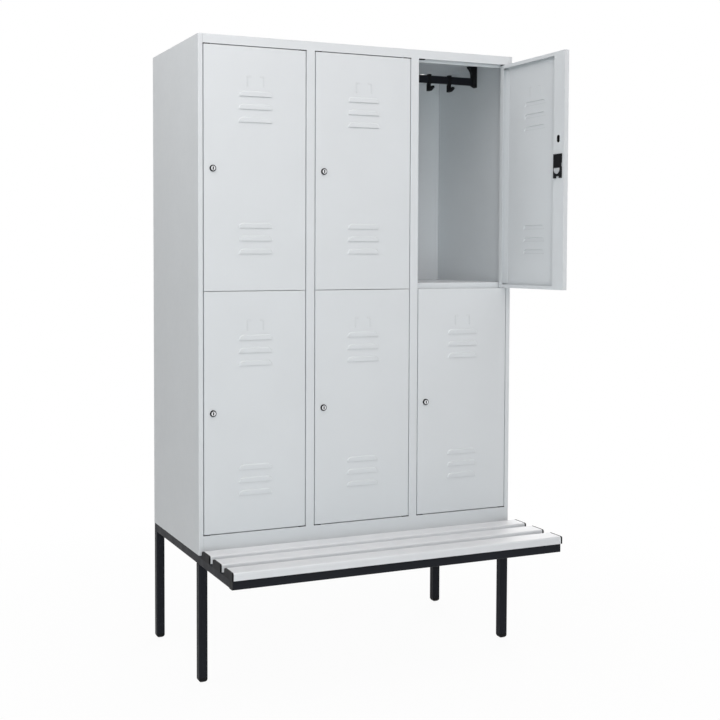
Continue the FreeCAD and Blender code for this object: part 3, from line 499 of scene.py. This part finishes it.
def model_slot_cup(material):
    """Painted shade: a black cup in the slot of the lock flange, with the lip that holds it there.
    """
    radius, straight, depth, wall = 5.9 * MM, 6.0 * MM, 10.55 * MM, 0.35 * MM
    middle_z, hair = 108.0 * MM, 0.01 * MM
    lip_spread = (1.25, 1.0, 1.06)
    cup = start_piece("slot_cup", bpy.ops.mesh.primitive_circle_add, vertices=48, radius=radius,
                      fill_type="NGON", location=(0.0, 0.0, middle_z),
                      rotation=(QUARTER_TURN, 0.0, 0.0))
    select_points(cup, lambda point: point.z > middle_z + hair)
    push(z=straight)
    select_points(cup, lambda point: point.z < middle_z - hair)
    push(z=-straight)
    bpy.ops.mesh.select_all(action="SELECT")
    extrude(y=depth)
    extrude()
    bpy.ops.transform.resize(value=lip_spread)
    bpy.ops.mesh.delete(type="ONLY_FACE")
    bpy.ops.mesh.select_all(action="SELECT")
    bpy.ops.mesh.normals_make_consistent(inside=False)
    thicken(cup, "wall", wall, offset=-1.0)
    return end_piece(cup, material)


def model_hinge_stiffener(material):
    """The curved strip that stiffens the hinge fold inside a door, clear of both hinge pins."""
    from_pivot, middle_y, gauge = 22.0 * MM, 7.4 * MM, 0.8 * MM
    reach_x, reach_y, clear_of_pins = 29.1 * MM, 12.0 * MM, 30.0 * MM
    pivot = joints["door_swing_lower_left"]["pos_m"]
    lock = joints["lock_turn_lower_left"]["pos_m"]
    low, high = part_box("door_lower_left")
    middle = Vector((pivot[0] - lock[0] - from_pivot, middle_y, (low[2] + high[2]) / 2 - lock[2]))
    strip = start_piece("hinge_stiffener", bpy.ops.mesh.primitive_cylinder_add, vertices=72,
                        radius=1.0, depth=1.0, end_fill_type="NOTHING", location=middle,
                        scale=(reach_x, reach_y, high[2] - low[2] - clear_of_pins))
    select_faces(strip, lambda face: face.center.x < middle.x or face.center.y > middle.y)
    bpy.ops.mesh.delete(type="FACE")
    thicken(strip, "sheet", gauge, offset=1.0)
    return end_piece(strip, material)


def fit_to_doors(pattern, body):
    """Copy a piece, modelled round the lock's turning axis, to the lock of every door."""
    for tag in TAGS:
        turn = joints[f"lock_turn_{tag}"]
        copy = pattern.copy()
        copy.data = pattern.data.copy()
        copy.name = f"{pattern.name}_{tag}"
        bpy.context.scene.collection.objects.link(copy)
        copy.location = turn["pos_m"]
        copy.rotation_euler.z = math.atan2(-turn["axis"][0], turn["axis"][1])
        bpy.ops.object.select_all(action="DESELECT")
        copy.select_set(True)
        bpy.context.view_layer.objects.active = copy
        bpy.ops.object.transform_apply(location=True, rotation=True, scale=True)
        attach(copy, f"{body}_{tag}")
    bpy.data.objects.remove(pattern)


fit_to_doors(model_keyway(KEYWAY_SHADE), "lock_cylinder")
fit_to_doors(model_cam_plate(SATIN_ZINC), "lock_cylinder")
fit_to_doors(model_slot_cup(SLOT_SHADE), "door")
fit_to_doors(model_hinge_stiffener(FINISHES["grey_paint"]), "door")


# ---------------------------------------------------------------- floor, light and camera

FLOOR_SIZE, FLOOR_DROP = 40.0, 0.0005
FLOOR_GREY, FLOOR_ROUGHNESS = 0.86, 0.9
SHADOW_NEAR, SHADOW_FAR, WHITE_NEAR, WHITE_FAR = 0.8, 2.2, 0.95, 1.0
WORLD_LIGHT = 0.22
CAMERA_PLACE, CAMERA_TILT, CAMERA_TURN = (-1.797, -3.53435, 1.410), -2.40, -21.82


def seen_rays(tree):
    """1 for rays that show a surface to the eye, straight or mirrored, and 0 for its light."""
    rays = tree.nodes.new("ShaderNodeLightPath").outputs
    through = maths(tree, "MAXIMUM", rays["Is Glossy Ray"], rays["Is Transmission Ray"])
    return maths(tree, "MAXIMUM", rays["Is Camera Ray"], through)


def make_floor():
    """A white sweep that glows to the eye, so that only a trace of shadow shows, near the feet."""
    bpy.ops.mesh.primitive_plane_add(size=FLOOR_SIZE, location=(0.0, 0.0, -FLOOR_DROP))
    floor = bpy.context.object
    floor.name = "studio_floor"
    material, tree, shader = new_material("studio_floor_white")
    shader["Base Color"].default_value = (FLOOR_GREY, FLOOR_GREY, FLOOR_GREY, 1.0)
    shader["Roughness"].default_value = FLOOR_ROUGHNESS
    glow = tree.nodes.new("ShaderNodeEmission")
    glow.inputs["Strength"].default_value = 1.0
    distance = tree.nodes.new("ShaderNodeVectorMath")
    distance.operation = "LENGTH"
    tree.links.new(place(tree), distance.inputs[0])
    white = spread(tree, distance.outputs["Value"], SHADOW_NEAR, SHADOW_FAR, WHITE_NEAR, WHITE_FAR)
    mix = tree.nodes.new("ShaderNodeMixShader")
    tree.links.new(maths(tree, "MULTIPLY", seen_rays(tree), white), mix.inputs[0])
    tree.links.new(tree.nodes["Principled BSDF"].outputs[0], mix.inputs[1])
    tree.links.new(glow.outputs[0], mix.inputs[2])
    tree.links.new(mix.outputs[0], tree.nodes["Material Output"].inputs["Surface"])
    floor.data.materials.append(material)


def make_world():
    """White to the eye, and a low even light on the part."""
    world = bpy.data.worlds.new("studio_white")
    world.use_nodes = True
    bpy.context.scene.world = world
    tree = world.node_tree
    background = tree.nodes["Background"]
    background.inputs["Color"].default_value = (1.0, 1.0, 1.0, 1.0)
    strength = spread(tree, seen_rays(tree), low=0.0, high=1.0, to_low=WORLD_LIGHT)
    tree.links.new(strength, background.inputs["Strength"])


def make_softbox(title, place_at, aim_at, size, power, tint):
    lamp = bpy.data.lights.new(title, "AREA")
    lamp.color = tint
    lamp.shape = "RECTANGLE"
    lamp.size, lamp.size_y = size
    lamp.energy = power
    softbox = bpy.data.objects.new(title, lamp)
    bpy.context.scene.collection.objects.link(softbox)
    softbox.location = place_at
    facing = Vector(place_at) - Vector(aim_at)
    softbox.rotation_euler = facing.to_track_quat("Z", "Y").to_euler()


def make_camera():
    lens = bpy.data.cameras.new("catalogue_camera")
    lens.sensor_width = 36.0
    lens.lens = 56.31
    lens.shift_x, lens.shift_y = 0.15, -0.08
    camera = bpy.data.objects.new("catalogue_camera", lens)
    bpy.context.scene.collection.objects.link(camera)
    camera.location = CAMERA_PLACE
    camera.rotation_euler = (QUARTER_TURN + math.radians(CAMERA_TILT), 0.0,
                             math.radians(CAMERA_TURN))
    bpy.context.scene.camera = camera


make_floor()
make_world()
make_softbox("front_softbox", place_at=(-0.7, -4.0, 3.5), aim_at=(0.0, 0.0, 1.3),
             size=(3.5, 2.5), power=33.0, tint=(1.0, 0.89, 0.88))
make_softbox("left_softbox", place_at=(-1.9, -0.2, 3.2), aim_at=(-0.65, 0.2, 1.8),
             size=(1.4, 1.6), power=18.5, tint=(1.0, 0.97, 0.96))
make_softbox("top_softbox", place_at=(-0.2, -1.9, 4.4), aim_at=(0.0, -0.3, 0.6),
             size=(3.0, 2.0), power=57.0, tint=(1.0, 0.93, 0.91))
make_softbox("low_softbox", place_at=(-1.9, -4.2, 1.1), aim_at=(0.4, 0.2, 1.2),
             size=(1.6, 1.8), power=63.0, tint=(0.93, 0.99, 1.0))
make_softbox("back_softbox", place_at=(2.6, 3.6, 3.4), aim_at=(0.0, 0.3, 1.2),
             size=(3.0, 2.5), power=105.0, tint=(1.0, 0.98, 0.97))
make_camera()
bpy.context.scene.view_settings.view_transform = "Standard"
